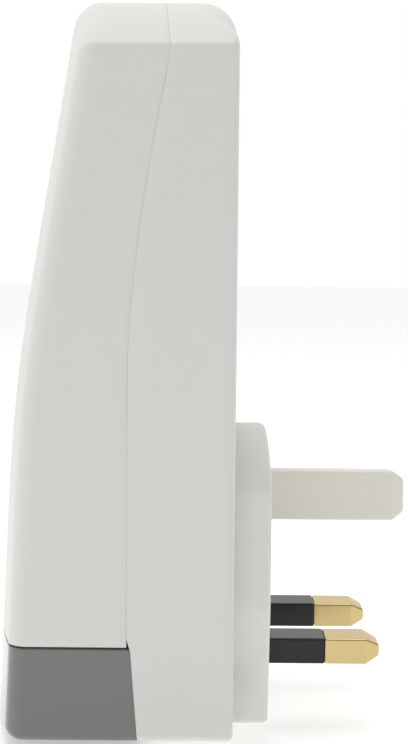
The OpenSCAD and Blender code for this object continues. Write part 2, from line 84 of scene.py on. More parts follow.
# %% Camera
camera_place = Vector((231.0, -10.1, 61.2)) * mm
look_down = 0.083
roll = 0.009
camera_data = bpy.data.cameras.new("camera")
camera_data.lens = 69.2
camera_data.sensor_width = 36
camera = bpy.data.objects.new("camera", camera_data)
bpy.context.scene.collection.objects.link(camera)
camera.location = camera_place
facing = Euler((math.pi / 2 - look_down, 0, math.pi / 2)).to_matrix() @ Matrix.Rotation(roll, 3, "Z")
camera.rotation_euler = facing.to_euler()
bpy.context.scene.camera = camera
print("camera is", round((camera_place - (cad_box[0] + cad_box[1]) / 2).length, 3), "m from the middle")

# %% [markdown]
# Studio light for a white product: an even pale surround, dimmer on the camera's side so the near
# face reads a tone darker than the top and front, and two soft panels. One panel alone would leave
# hard shadows under the pins. The floor is a plain pale sheet at the foot of the case.

# %% Surround, panels and floor
scene = bpy.context.scene
scene.view_settings.view_transform = "Standard"
world = bpy.data.worlds.new("studio")
scene.world = world
world.use_nodes = True
surround = world.node_tree
background = surround.nodes["Background"]
direction = surround.nodes.new("ShaderNodeTexCoord")
split = surround.nodes.new("ShaderNodeSeparateXYZ")
shade = surround.nodes.new("ShaderNodeMapRange")
shade.inputs["From Min"].default_value = -0.6
shade.inputs["From Max"].default_value = 0.3
shade.inputs["To Min"].default_value = 1.0
shade.inputs["To Max"].default_value = 0.25
surround.links.new(direction.outputs["Generated"], split.inputs[0])
surround.links.new(split.outputs["X"], shade.inputs["Value"])
surround.links.new(shade.outputs["Result"], background.inputs["Strength"])
background.inputs["Color"].default_value = (1, 1, 1, 1)


def panel(name, place, target, size, watts):
    """A soft square light that faces a point."""
    data = bpy.data.lights.new(name, "AREA")
    data.size = size
    data.energy = watts
    lamp = bpy.data.objects.new(name, data)
    lamp.location = place
    lamp.rotation_euler = (Vector(target) - Vector(place)).to_track_quat("-Z", "Y").to_euler()
    scene.collection.objects.link(lamp)


middle = (cad_box[0] + cad_box[1]) / 2
panel("top_panel", middle + Vector((0.1, -0.1, 0.6)), middle, 0.5, 2.1)
panel("front_panel", middle + Vector((0.15, -0.6, 0.15)), middle, 0.5, 0.2)
floor_mesh = bpy.data.meshes.new("floor")
reach = 3.0
floor_z = cad_box[0].z
floor_mesh.from_pydata([(-reach, -reach, floor_z), (reach, -reach, floor_z), (reach, reach, floor_z),
                        (-reach, reach, floor_z)], [], [(0, 1, 2, 3)])
floor = bpy.data.objects.new("floor", floor_mesh)
scene.collection.objects.link(floor)
print("floor at", round(floor_z, 4))

# %% [markdown]
# The case has one outer form: flat sides, an arched top, a slightly arched base, a front that
# bulges across its width and leans back as it rises, and a back that curves forward at the crown.
# Scaling a cube could never hold these edges, so each surface is a short formula, and the shells
# are grids of points that lie on it.

# %% Outer form of the case
rear_low, rear_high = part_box("rear_shell")
half_w = rear_high.x
back_y = rear_high.y
top_z = rear_high.z
base_z = rear_low.z
side_top = top_z - 9.7 * mm
side_low = base_z + 4.5 * mm
corner_r = 1.3 * mm
wall = 2.2 * mm
front_r = 112 * mm
base_y = back_y - 36.7 * mm


def arc_radius(rise):
    """Radius of an arc that rises by an amount over the case's half width."""
    return (half_w ** 2 + rise ** 2) / (2 * rise)


top_r = arc_radius(top_z - side_top)
base_r = arc_radius(side_low - base_z)
low_slope = 0.043
high_slope = 0.1695
joint_low_y = -20.9 * mm
joint_sweep = 5.9 * mm
joint_crown_slope = 0.13
trim_joint_low_y = -20.4 * mm
trim_joint_slope = 0.08
bend_low = 18 * mm
bend_high = 61 * mm


def front_y(x, z):
    """Depth of the front at a place: a lean that grows with height, and a bulge across the width."""
    run = bend_high - bend_low
    u = np.clip((z - bend_low) / run, 0, 1)
    gained = run * (u ** 3 - u ** 4 / 2) + np.maximum(z - bend_high, 0)
    middle_y = base_y + low_slope * (z - side_low) + (high_slope - low_slope) * gained
    return middle_y + front_r - np.sqrt(front_r ** 2 - x ** 2)


def rear_y(x, z):
    """Depth of the back, which is flat up to its rounded edge."""
    return back_y + 0 * x * z


def joint_y(z):
    """Depth of the line where the front shell meets the rear shell."""
    bend, turn = 45 * mm, side_top - mm
    u = np.clip((z - bend) / (turn - bend), 0, 1)
    return joint_low_y + joint_sweep * u ** 1.6 - joint_crown_slope * np.maximum(z - turn, 0)


def trim_joint_y(z):
    """Depth of the line where the lower trim meets the rear shell."""
    return trim_joint_low_y + trim_joint_slope * (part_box("front_shell")[0].z - z)


print("front at base and top:", round(front_y(0, side_low), 4), round(front_y(0, side_top), 4))

# %% [markdown]
# Every shell is a tray: a rim, a straight belt, a rounded edge and a cap. Its rim follows the
# case's outline, drawn in by some amount at each point. Stations along the outline keep their
# order at every inset, so rings at different insets join into clean four-sided faces.

# %% Outline stations
CORNER, ARC, SIDE = 5, 20, 56
corner_t = np.linspace(0, 1, CORNER + 1)
arc_t = np.linspace(0, 1, ARC + 1)[1:]
half_t = np.concatenate([corner_t, arc_t])
half_is_corner = np.arange(len(half_t)) <= CORNER
turn_t = np.concatenate([half_t, half_t[-2::-1]])
turn_is_corner = np.concatenate([half_is_corner, half_is_corner[-2::-1]])
turn_side = np.concatenate([np.ones(len(half_t)), -np.ones(len(half_t) - 1)])
lift_run = 0.35
turn_lift = np.where(turn_is_corner, 0, np.clip(turn_t / lift_run, 0, 1))
turn_lift = turn_lift ** 2 * (3 - 2 * turn_lift)


def corner_of(inset, sign):
    """Side, arc and corner circle of the outline at an inset: sign 1 for the top and -1 for the base."""
    w = half_w - inset
    r = (top_r if sign > 0 else base_r) - inset
    c = np.maximum(corner_r - 0.5 * inset, 0.25 * mm)
    middle_z = top_z - top_r if sign > 0 else -(base_z + base_r)
    centre_x = w - c
    centre_z = middle_z + np.sqrt((r - c) ** 2 - centre_x ** 2)
    return w, r, c, centre_x, middle_z, centre_z


def turn_points(inset, sign):
    """Points round the top or the base, from the right side's end to the left side's end."""
    w, r, c, centre_x, middle_z, centre_z = corner_of(inset, sign)
    lean = np.arctan2(centre_z - middle_z, centre_x)
    a = np.where(turn_is_corner, lean * turn_t, lean + (math.pi / 2 - lean) * turn_t)
    x = np.where(turn_is_corner, centre_x + c * np.cos(a), r * np.cos(a)) * turn_side
    z = np.where(turn_is_corner, centre_z + c * np.sin(a), middle_z + r * np.sin(a)) * sign
    return x, z


lip = 0.07 * mm
lip_steps = np.array([0.0, 0.35, 1.0])
lip_inset = lip * np.array([1.0, 0.3, 0.0])


def open_rim(start_z, sign, inset):
    """Rim of a tray that is open at a level cut: up one side, round the end and down the other."""
    count = 2 * (SIDE + 3) + len(turn_t) - 2
    inset = np.broadcast_to(inset, (count,)).copy()
    inset[:3] += lip_inset
    inset[-3:] += lip_inset[::-1]
    side_n = SIDE + 3
    w, _, _, _, _, centre_z = corner_of(inset, sign)
    stations = np.concatenate([[0, 0, 0], np.linspace(0, 1, SIDE + 1)[1:]])
    near = start_z + sign * lip * np.concatenate([lip_steps, np.ones(SIDE)])
    right_z = near + (centre_z[:side_n] * sign - near) * stations
    left_z = (near + (centre_z[-side_n:][::-1] * sign - near) * stations)[::-1]
    turn_x, turn_z = turn_points(inset[side_n - 1:count - side_n + 1], sign)
    x = np.concatenate([w[:side_n], turn_x[1:-1], -w[-side_n:]])
    z = np.concatenate([right_z, turn_z[1:-1], left_z])
    return x, z


def closed_rim(inset):
    """Rim of the whole outline: up the right side, over the top, down the left and round the base."""
    side_n = SIDE + 1
    turn_n = len(turn_t)
    count = 2 * side_n + 2 * turn_n - 4
    inset = np.broadcast_to(inset, (count,))
    parts = np.split(inset, [side_n, side_n + turn_n - 2, 2 * side_n + turn_n - 2])
    right, top, left, base = parts
    over_x, over_z = turn_points(np.concatenate([right[-1:], top, left[:1]]), 1)
    under_x, under_z = turn_points(np.concatenate([right[:1], base[::-1], left[-1:]]), -1)
    t = np.linspace(0, 1, side_n)
    up = corner_of(right, 1)[-1] * t - corner_of(right, -1)[-1] * (1 - t)
    down = corner_of(left, 1)[-1] * t[::-1] - corner_of(left, -1)[-1] * (1 - t[::-1])
    x = np.concatenate([half_w - right, over_x[1:-1], -(half_w - left), under_x[1:-1][::-1]])
    z = np.concatenate([up, over_z[1:-1], down, under_z[1:-1][::-1]])
    return x, z


print("stations on the closed rim:", len(closed_rim(0.0)[0]))

# %% [markdown]
# Rows of points turn a rim into a tray's side: they ease over the lip, climb the belt and turn over
# the rounded edge by a quarter ellipse. Solidify would be shorter, but it folds over itself inside
# edges tighter than the wall is thick.

# %% Rows of a tray
BELT, ROUND = 9, 9


def tray_rows(rim, start, cap, toward, edge_depth, edge_inset, base_inset, ease):
    """Rows of points from a tray's lip to its cap. toward is -1 for one that opens to the back."""
    rows = []
    for step, drawn in zip(lip_steps, lip_inset):
        x, z = rim(base_inset + ease * drawn)
        rows.append((x, start(z) + toward * lip * step, z))
    x, z = rim(base_inset + 0.0)
    belt_start = start(z) + toward * lip
    belt_end = cap(x, z) - toward * edge_depth
    for t in np.linspace(0, 1, BELT + 1)[1:]:
        rows.append((x, belt_start + (belt_end - belt_start) * t, z))
    for a in np.linspace(0, math.pi / 2, ROUND + 1)[1:]:
        x, z = rim(base_inset + edge_inset * (1 - math.cos(a)))
        rows.append((x, cap(x, z) - toward * edge_depth * (1 - math.sin(a)), z))
    return [np.stack(row, 1) for row in rows]


def row_faces(rows, n, closed):
    """Four-sided faces between neighbouring rows of n points."""
    faces = []
    for k in range(rows - 1):
        for i in range(n if closed else n - 1):
            j = (i + 1) % n
            faces.append((k * n + i, k * n + j, (k + 1) * n + j, (k + 1) * n + i))
    return faces


print("rows in a tray:", len(lip_steps) + BELT + ROUND)

# %% [markdown]
# A cap fills the space inside the last row. Its four sides are known, so a Coons patch blends them
# into a grid. Grid Fill would do it too, but its points wouldn't match from wall to wall.

# %% Cap of a tray
def cap_frame(flat, last, closed):
    """A cap's grid of point numbers with its sides filled in, and the line along its base."""
    side_n = SIDE + 1 if closed else SIDE + 3
    turn_n = len(turn_t)
    grid = np.zeros((side_n, turn_n), int)
    grid[:, 0] = last + np.arange(side_n)
    grid[:, -1] = last + np.arange(side_n + turn_n - 2, 2 * side_n + turn_n - 2)[::-1]
    grid[-1] = last + np.arange(side_n - 1, side_n + turn_n - 1)
    if closed:
        grid[0, 1:-1] = last + np.arange(2 * side_n + turn_n - 2, len(flat) - last)[::-1]
        return grid, flat[grid[0]]
    top_x = flat[grid[-1], 0]
    right_end, left_end = flat[grid[0, 0]], flat[grid[0, -1]]
    span = (top_x - top_x[-1]) / (top_x[0] - top_x[-1])
    return grid, left_end + np.outer(span, right_end - left_end)


def coons_patch(top, base, right, left):
    """Points of a surface that is stretched between four lines."""
    across = (top[0, 0] - top[:, 0]) / (top[0, 0] - top[-1, 0])
    up = (right[:, 1] - right[0, 1]) / (right[-1, 1] - right[0, 1])
    u, v = across[None, :, None], up[:, None, None]
    return ((1 - v) * base[None] + v * top[None] + (1 - u) * right[:, None] + u * left[:, None]
            - (1 - u) * (1 - v) * right[0] - u * (1 - v) * left[0]
            - (1 - u) * v * right[-1] - u * v * left[-1])


print("points across a cap:", len(turn_t))

# %% [markdown]
# A tray is its rows and its cap. The outer and inner surfaces of a shell share one layout, so
# joining their borders gives a closed wall that the boolean cuts can trust.

# %% Trays and walls
def tray_border(grid, rows, n, closed):
    """Point numbers round a tray's open edge."""
    if closed:
        return list(range(n))
    down_left = [k * n + n - 1 for k in range(1, rows)]
    up_right = [k * n for k in range(rows - 1, 0, -1)]
    return list(range(n)) + down_left + list(grid[0, 1:-1][::-1]) + up_right


def tray(rim, start, cap, toward, edge_depth, edge_inset, base_inset, ease, closed):
    """Points, faces and border of a tray."""
    rows = tray_rows(rim, start, cap, toward, edge_depth, edge_inset, base_inset, ease)
    n = len(rows[0])
    verts = np.concatenate(rows)
    faces = row_faces(len(rows), n, closed)
    flat = verts[:, [0, 2]]
    grid, base_line = cap_frame(flat, (len(rows) - 1) * n, closed)
    places = coons_patch(flat[grid[-1]], base_line, flat[grid[:, 0]], flat[grid[:, -1]])
    eased = np.zeros(len(grid))
    if not closed:
        eased[:3] = ease * lip_inset
    extra = []
    for r in range(1 if closed else 0, len(grid) - 1):
        for c in range(1, len(turn_t) - 1):
            x, z = places[r, c]
            grid[r, c] = len(verts) + len(extra)
            extra.append((x, cap(x, z) - toward * eased[r], z))
    verts = np.concatenate([verts, np.array(extra)])
    for r in range(len(grid) - 1):
        for c in range(len(turn_t) - 1):
            faces.append((grid[r, c], grid[r, c + 1], grid[r + 1, c + 1], grid[r + 1, c]))
    return verts, faces, tray_border(grid, len(rows), n, closed)


def add_mesh(name, verts, faces):
    """A mesh object from points and faces, with its normals turned outwards."""
    mesh = bpy.data.meshes.new(name)
    mesh.from_pydata([tuple(map(float, v)) for v in verts], [], [tuple(map(int, f)) for f in faces])
    shape = bmesh.new()
    shape.from_mesh(mesh)
    bmesh.ops.recalc_face_normals(shape, faces=shape.faces)
    shape.to_mesh(mesh)
    shape.free()
    piece = bpy.data.objects.new(name, mesh)
    scene.collection.objects.link(piece)
    return piece


def walled(name, outer, inner):
    """A closed shell from an outer and an inner surface with the same layout."""
    verts, faces, border = outer
    inner_verts, inner_faces, inner_border = inner
    shift = len(verts)
    all_faces = list(faces) + [tuple(i + shift for i in reversed(f)) for f in inner_faces]
    for i in range(len(border)):
        j = (i + 1) % len(border)
        all_faces.append((border[j], border[i], inner_border[i] + shift, inner_border[j] + shift))
    return add_mesh(name, np.concatenate([verts, inner_verts]), all_faces)


def shade_smooth(piece, degrees=32):
    """Smooth shading, with edges sharper than an angle kept crisp."""
    piece.data.shade_smooth()
    piece.data.set_sharp_from_angle(angle=math.radians(degrees))


print("wall thickness:", round(wall / mm, 2), "mm")

# %% [markdown]
# The two white shells meet at a joint that sweeps back near the top, and the grey trim sits below
# the front shell behind a thin shadow gap. Each rim has a small eased lip, as moulded edges do, so
# the joint shows as a fine line rather than as a painted one.

# %% Shells and trim
seam_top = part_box("front_shell")[0].z
seam_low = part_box("lower_trim")[1].z - 0.9 * mm
print("trim gap", round((seam_top - seam_low) / mm, 2), "mm")
side_edge = 2.2 * mm
brow_edge = 3.5 * mm
rear_edge = 0.9 * mm
crown_edge = 5.2 * mm
open_lift = np.concatenate([np.zeros(SIDE + 3), turn_lift[1:-1], np.zeros(SIDE + 3)])
closed_lift = np.concatenate([np.zeros(SIDE + 1), turn_lift[1:-1], np.zeros(SIDE + 1 + len(turn_t) - 2)])


def shell(name, rim, start, cap, toward, edge, closed):
    """A walled tray: its outer surface has eased lips, and its inner one is a wall's thickness in."""
    inner_edge = np.maximum(edge - wall, 0.4 * mm)
    outer = tray(rim, start, cap, toward, edge, edge, 0.0, 1.0, closed)
    inner = tray(rim, start, lambda x, z: cap(x, z) - toward * wall, toward, inner_edge, inner_edge,
                 wall, 0.0, closed)
    return walled(name, outer, inner)


def rear_start(z):
    """The rear shell meets the front shell above the seam, and the trim below it."""
    return np.where(z > seam_top, joint_y(z), trim_joint_y(z))


def front_rim(inset):
    """The front shell's rim is open below, at the seam."""
    return open_rim(seam_top, 1, inset)


def trim_rim(inset):
    """The trim's rim is open above, just under the seam."""
    return open_rim(seam_low, -1, inset)


front_case = shell("front_case", front_rim, joint_y, front_y, -1,
                   side_edge + (brow_edge - side_edge) * open_lift, False)
trim_case = shell("trim_case", trim_rim, trim_joint_y, front_y, -1, side_edge + 0 * open_lift, False)
rear_case = shell("rear_case", closed_rim, rear_start, rear_y, 1,
                  rear_edge + (crown_edge - rear_edge) * closed_lift, True)
for piece in (front_case, trim_case, rear_case):
    print(piece.name, len(piece.data.polygons), "faces")

# %% [markdown]
# Openings are cut with exact booleans. A cutter for the front is a slab whose rows and columns
# follow the front's bulge, and whose outer layers flare, so each opening gets a narrow chamfer of
# even width. A straight box would cut a chamfer that dies out where the surface curves away.

# %% Slabs that follow a surface
def slab_rows(w, h, corner, grow, rows=10, corner_rows=6):
    """Heights of a rounded rectangle's rows, and half the width of each."""
    half_width, half_height, c = w / 2 + grow, h / 2 + grow, max(corner + grow, 0.05 * mm)
    a = np.linspace(0, math.pi / 2, corner_rows + 1)
    rise = half_height - c + c * np.sin(a)
    reach_x = half_width - c + c * np.cos(a)
    inner = np.linspace(-(half_height - c), half_height - c, rows + 1)[1:-1]
    heights = np.concatenate([-rise[::-1], inner, rise])
    halves = np.concatenate([reach_x[::-1], np.full(len(inner), half_width), reach_x])
    return heights, halves


def layered(name, centre, size, corner, lean, layers, columns=14):
    """A rounded slab through layers, each with its surface, its depth below it and its growth."""
    turn = math.radians(lean)
    u = np.linspace(-1, 1, columns + 1)
    verts, faces = [], []
    for surface, depth, grow in layers:
        heights, halves = slab_rows(size[0], size[1], corner, grow)
        x = centre[0] + np.outer(halves, u)
        z = centre[1] + np.outer(heights * math.cos(turn), np.ones(columns + 1))
        y = surface(x, z) + depth * math.cos(turn)
        z = z - depth * math.sin(turn)
        verts.append(np.stack([x, y, z], 2).reshape(-1, 3))
    rows, cols = len(heights), columns + 1
    index = np.arange(rows * cols).reshape(rows, cols)
    rim = np.concatenate([index[0], index[1:, -1], index[-1, -2::-1], index[-2:0:-1, 0]])
    last = rows * cols * (len(layers) - 1)
    for r in range(rows - 1):
        for c in range(cols - 1):
            face = (index[r, c], index[r, c + 1], index[r + 1, c + 1], index[r + 1, c])
            faces.append(face)
            faces.append(tuple(i + last for i in reversed(face)))
    for k in range(len(layers) - 1):
        low, high = rim + k * rows * cols, rim + (k + 1) * rows * cols
        for i in range(len(rim)):
            j = (i + 1) % len(rim)
            faces.append((low[i], high[i], high[j], low[j]))
    return add_mesh(name, np.concatenate(verts), faces)


def settle(piece):
    """Makes a piece's modifiers permanent."""
    view = bpy.context.evaluated_depsgraph_get()
    mesh = bpy.data.meshes.new_from_object(piece.evaluated_get(view))
    piece.modifiers.clear()
    piece.data = mesh


def combine(piece, tools, operation="DIFFERENCE"):
    """Cuts tools out of a piece, or joins them to it."""
    for tool in tools:
        step = piece.modifiers.new("combine", "BOOLEAN")
        step.operation = operation
        step.solver = "EXACT"
        step.object = tool
    settle(piece)
    for tool in tools:
        bpy.data.objects.remove(tool)


high_lean = 9.62
lens_z = 78.5 * mm
lens_size = (31 * mm, 22 * mm)
lens_corner = 3 * mm
display_y = base_y + 6.05 * mm + (lens_z - side_low - 72 * mm) * math.tan(math.radians(high_lean))
outlet_lean = 4.55
outlet_z = 23.5 * mm
outlet_y = base_y + 3.2 * mm
outlet_size = (32 * mm, 46.5 * mm)
outlet_corner = 6 * mm
outlet_middle_z = outlet_z + 6.25 * mm * math.cos(math.radians(outlet_lean))
key_size = (8.4 * mm, 6.5 * mm)
key_corner = 2.6 * mm
key_pitch = 10.5 * mm
key_rise = -20.4 * mm
key_z = lens_z + key_rise * math.cos(math.radians(high_lean))


def display_plane(x, z):
    """The leaning plane that the display and the keys lie on."""
    return display_y + (z - lens_z) * math.tan(math.radians(high_lean)) + 0 * x


def outlet_plane(x, z):
    """The leaning plane of the outlet's face."""
    return outlet_y + (z - outlet_z) * math.tan(math.radians(outlet_lean)) + 0 * x


def flared(name, centre, size, corner, lean, gap, chamfer, through, surface=front_y):
    """A cutter that leaves a chamfer where it meets the surface."""
    out = 2.5 * mm
    return layered(name, centre, size, corner, lean,
                   [(surface, -out, gap + chamfer + out), (surface, chamfer, gap), through])


# %% [markdown]
# The front has five openings: the window with a ledge inside it, three key holes and the outlet.
# Each one is a hair larger than the piece that fills it, so a fine shadow line shows all round.

# %% Openings in the front
window_gap = 0.12 * mm
window = flared("window", (0, lens_z), lens_size, lens_corner, high_lean, window_gap, 0.25 * mm,
                (front_y, 1.4 * mm, window_gap))
ledge = 2 * mm
aperture = layered("aperture", (0, lens_z), (lens_size[0] - 2 * ledge, lens_size[1] - 2 * ledge),
                   lens_corner - mm, high_lean, [(front_y, -mm, 0), (display_plane, 9 * mm, 0)])
key_gap = 0.35 * mm
key_holes = [flared("key_hole", (i * key_pitch, key_z), key_size, key_corner, high_lean, key_gap,
                    0.25 * mm, (display_plane, 8 * mm, key_gap)) for i in (-1, 0, 1)]
outlet_gap = 0.12 * mm
outlet_hole = flared("outlet_hole", (0, outlet_middle_z), outlet_size, outlet_corner, outlet_lean,
                     outlet_gap, 0.4 * mm, (outlet_plane, 9 * mm, outlet_gap))
combine(front_case, [window, aperture, outlet_hole] + key_holes)
print("front case has", len(front_case.data.polygons), "faces after its openings are cut")

# %% [markdown]
# Round things are turned on a lathe, and so are these: a profile of radii and depths is spun about
# an axis that runs front to back. Screw bosses, their wells and the screws all come from it.

# %% Turned pieces and screw wells
def turned(name, x, z, profile, sides=48):
    """A closed solid spun from a profile of radius and depth, about an axis along Y."""
    angles = np.linspace(0, 2 * math.pi, sides, endpoint=False)
    verts = [(x + r * math.cos(a), y, z + r * math.sin(a)) for r, y in profile for a in angles]
    faces = [tuple(range(sides)), tuple(reversed(range((len(profile) - 1) * sides, len(profile) * sides)))]
    for k in range(len(profile) - 1):
        for i in range(sides):
            j = (i + 1) % sides
            faces.append((k * sides + i, (k + 1) * sides + i, (k + 1) * sides + j, k * sides + j))
    return add_mesh(name, np.array(verts), faces)


def brick(name, low, high):
    """A plain block between two corners, for cutting."""
    (x0, y0, z0), (x1, y1, z1) = low, high
    verts = [(x, y, z) for x in (x0, x1) for y in (y0, y1) for z in (z0, z1)]
    faces = [(0, 1, 3, 2), (4, 6, 7, 5), (0, 4, 5, 1), (2, 3, 7, 6), (0, 2, 6, 4), (1, 5, 7, 3)]
    return add_mesh(name, np.array(verts), faces)


screw_low, screw_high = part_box("case_screws")
screw_head_r = 2.1 * mm
screw_head_h = 1.6 * mm
screw_seat_y = screw_high.y - screw_head_h
screw_x = screw_high.x - screw_head_r
screw_places = [(s * screw_x, z) for s in (-1, 1)
                for z in (screw_low.z + screw_head_r, screw_high.z - screw_head_r)]
well_r = screw_head_r + 0.15 * mm
boss_r = 3.4 * mm
bosses = [turned("boss", x, z, [(boss_r, float(rear_start(np.array(z)))), (boss_r, back_y - wall / 2)])
          for x, z in screw_places]
combine(rear_case, bosses, "UNION")
well_flare = 0.3 * mm
bore_r = 1.3 * mm
wells = [turned("well", x, z, [(bore_r, -30 * mm), (bore_r, screw_seat_y), (well_r, screw_seat_y),
                               (well_r, back_y - well_flare), (well_r + well_flare, back_y),
                               (well_r + well_flare, back_y + mm)]) for x, z in screw_places]
spigot = brick("spigot_hole", (-20.1 * mm, -9 * mm, -6.6 * mm), (20.1 * mm, 0, 26.6 * mm))
combine(rear_case, wells + [spigot])
for piece in (front_case, trim_case, rear_case):
    shade_smooth(piece, 28)
print("screw wells:", len(screw_places), "of radius", round(well_r / mm, 2), "mm")

# %% [markdown]
# The pad that the pins stand on is a flat-topped plateau with a gently arched upper edge and a foot
# that tapers in. Its outline is a short list of corners, each with its own radius. Its rear rim is
# bevelled edge by edge, because the rim that meets the case stays sharp.

# %% Pad
def rounded_loop(corners, steps=6):
    """An outline through corners that each have a radius."""
    loop = []
    count = len(corners)
    for i, (x, z, r) in enumerate(corners):
        here = Vector((x, z))
        before = Vector(corners[i - 1][:2]) - here
        after = Vector(corners[(i + 1) % count][:2]) - here
        if r == 0:
            loop.append(here)
            continue
        half = before.angle(after) / 2
        centre = here + (before.normalized() + after.normalized()).normalized() * (r / math.sin(half))
        start = here + before.normalized() * (r / math.tan(half)) - centre
        end = here + after.normalized() * (r / math.tan(half)) - centre
        swing = start.angle_signed(end)
        loop += [centre + Matrix.Rotation(-swing * k / steps, 2) @ start for k in range(steps + 1)]
    return loop


def prism(name, loop, y0, y1):
    """An outline in X and Z, drawn out between two depths."""
    n = len(loop)
    verts = [(p[0], y, p[1]) for y in (y0, y1) for p in loop]
    faces = [tuple(range(n)), tuple(reversed(range(n, 2 * n)))]
    faces += [(i, i + n, (i + 1) % n + n, (i + 1) % n) for i in range(n)]
    return add_mesh(name, np.array(verts), faces)


def bevel_at(piece, y, width, segments):
    """Rounds a piece's edges that lie at one depth."""
    shape = bmesh.new()
    shape.from_mesh(piece.data)
    rim = [e for e in shape.edges if all(abs(v.co.y - y) < 1e-6 for v in e.verts)]
    bmesh.ops.bevel(shape, geom=rim, offset=width, segments=segments, profile=0.5, affect="EDGES")
    shape.to_mesh(piece.data)
    shape.free()


pad_low, pad_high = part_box("plug_base")
pad_w = pad_high.x
pad_arc_r = 62 * mm
pad_top = pad_high.z
pad_foot = pad_low.z
pad_side_low = 9.2 * mm
foot_w = 19.6 * mm


def pad_arc(x):
    """Height of the pad's arched top edge."""
    return pad_top - pad_arc_r + math.sqrt(pad_arc_r ** 2 - x ** 2)


arched = [(x * mm, pad_arc(x * mm), 0) for x in range(-20, 21, 4)]
pad_corners = ([(-pad_w, pad_arc(pad_w), 3 * mm)] + arched + [(pad_w, pad_arc(pad_w), 3 * mm),
               (pad_w, pad_side_low, 6 * mm), (foot_w, pad_foot, 1.4 * mm), (-foot_w, pad_foot, 1.4 * mm),
               (-pad_w, pad_side_low, 6 * mm)])
pad = prism("plug_pad", rounded_loop(pad_corners), back_y, 0)
bevel_at(pad, 0, 0.8 * mm, 5)
combine(pad, [brick("spigot", (-20 * mm, -9.5 * mm, -6.5 * mm), (20 * mm, back_y + 0.5 * mm, 26.5 * mm))],
        "UNION")


def pin_pocket(node, gap):
    """A cutter for the hole that a pin or a sleeve sits in."""
    low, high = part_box(node)
    return brick("pocket", (low.x - gap, low.y - gap, low.z - gap), (high.x + gap, mm, high.z + gap))


combine(pad, [pin_pocket(n, 0.05 * mm) for n in ("live_sleeve", "neutral_sleeve", "earth_pin")])
shade_smooth(pad, 30)
print("pad faces:", len(pad.data.polygons))

# %% [markdown]
# The screws sit deep in their wells, so a turned pan head with a cross recess is all that shows.
# The four of them are one piece, because they share one node.

# %% Case screws
def pan_screw(x, z):
    """A pan-head screw with a cross recess and a turned shank."""
    top = screw_seat_y + screw_head_h
    tip = screw_seat_y - 15.5 * mm
    thread = [(1.05 * mm + 0.18 * mm * (k % 2), tip + 1.2 * mm + 0.35 * mm * k) for k in range(40)]
    head = [(screw_head_r, screw_seat_y), (screw_head_r, screw_seat_y + 0.7 * mm)]
    dome = [(screw_head_r * math.cos(a) * 0.999, screw_seat_y + 0.7 * mm + 0.9 * mm * math.sin(a))
            for a in np.linspace(0.15, 1.35, 7)]
    shank = [(0.2 * mm, tip)] + thread + [(1.1 * mm, screw_seat_y)]
    screw = turned("screw", x, z, shank + head + dome, 40)
    arm, depth = 1.15 * mm, 0.9 * mm
    blade = 0.25 * mm
    across = brick("across", (x - arm, top - depth, z - blade), (x + arm, top + mm, z + blade))
    upright = brick("upright", (x - blade, top - depth, z - arm), (x + blade, top + mm, z + arm))
    combine(screw, [across, upright])
    return screw


def join(name, pieces):
    """One piece from several meshes."""
    shape = bmesh.new()
    for piece in pieces:
        shape.from_mesh(piece.data)
        bpy.data.objects.remove(piece)
    mesh = bpy.data.meshes.new(name)
    shape.to_mesh(mesh)
    shape.free()
    whole = bpy.data.objects.new(name, mesh)
    scene.collection.objects.link(whole)
    return whole


screws = join("pan_screws", [pan_screw(x, z) for x, z in screw_places])
shade_smooth(screws, 35)
print("screw faces:", len(screws.data.polygons))

# %% [markdown]
# The window is a moulded lens that follows the front, flush but for a hair, with a rounded rim. The
# keys are shaped the same way, and each has the flange that stops it from falling out and the stub
# that presses the rubber mat.

# %% Lens and keys
def layers_on(surface, profile):
    """Layers that follow a surface, from a profile of depths and growths in millimetres."""
    return [(surface, depth * mm, grow * mm) for depth, grow in profile]


lens_profile = [(0.2, -0.35), (0.25, -0.15), (0.4, -0.03), (0.55, 0), (1.38, 0)]
lens = layered("window_lens", (0, lens_z), lens_size, lens_corner, high_lean,
               layers_on(front_y, lens_profile), 28)
shade_smooth(lens, 40)
cap_profile = [(0.02, -1.1), (0.05, -0.7), (0.17, -0.3), (0.4, -0.07), (0.7, 0)]
flange_profile = [(4.9, 0), (4.9, 0.45), (5.7, 0.45), (5.7, -1.6), (6.0, -1.7)]


def key(name, place):
    """A key: a softly rounded cap on a flange, and the stub behind it."""
    cap = layered(name, (place * key_pitch, key_z), key_size, key_corner, high_lean,
                  layers_on(front_y, cap_profile) + layers_on(display_plane, flange_profile))
    shade_smooth(cap, 35)
    return cap


keys = {body: key(body.replace("_key", "_key_cap"), place)
        for body, place in (("left_key", -1), ("middle_key", 0), ("right_key", 1))}
print("keys:", [k.name for k in keys.values()])

# %% [markdown]
# The outlet is a plate with three slots, set a little below the front. The slots have wide flared
# mouths that guide a plug's pins in, and the plate's rim is rounded where it meets the case.

# %% Outlet plate
plate_profile = [(0, -0.9), (0.08, -0.5), (0.3, -0.14), (0.7, 0), (2.9, 0), (2.9, 0.5), (5, 0.5)]
plate = layered("outlet_plate", (0, outlet_middle_z), outlet_size, outlet_corner, outlet_lean,
                layers_on(outlet_plane, plate_profile), 24)
pin_half_w = 3.175 * mm
pin_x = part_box("live_pin")[1].x - pin_half_w
earth_z = 22.2 * mm
slot_size, earth_slot = (7.2 * mm, 4.8 * mm), (4.8 * mm, 8.8 * mm)


def slot(x, rise, size):
    """A cutter for one of the outlet's slots, with a flared mouth."""
    return flared("slot", (x, outlet_z + rise * math.cos(math.radians(outlet_lean))), size, 0.5 * mm,
                  outlet_lean, 0, 0.45 * mm, (outlet_plane, 6 * mm, 0), outlet_plane)


combine(plate, [slot(-pin_x, 0, slot_size), slot(pin_x, 0, slot_size), slot(0, earth_z, earth_slot)])
shade_smooth(plate, 30)
print("outlet plate faces:", len(plate.data.polygons))

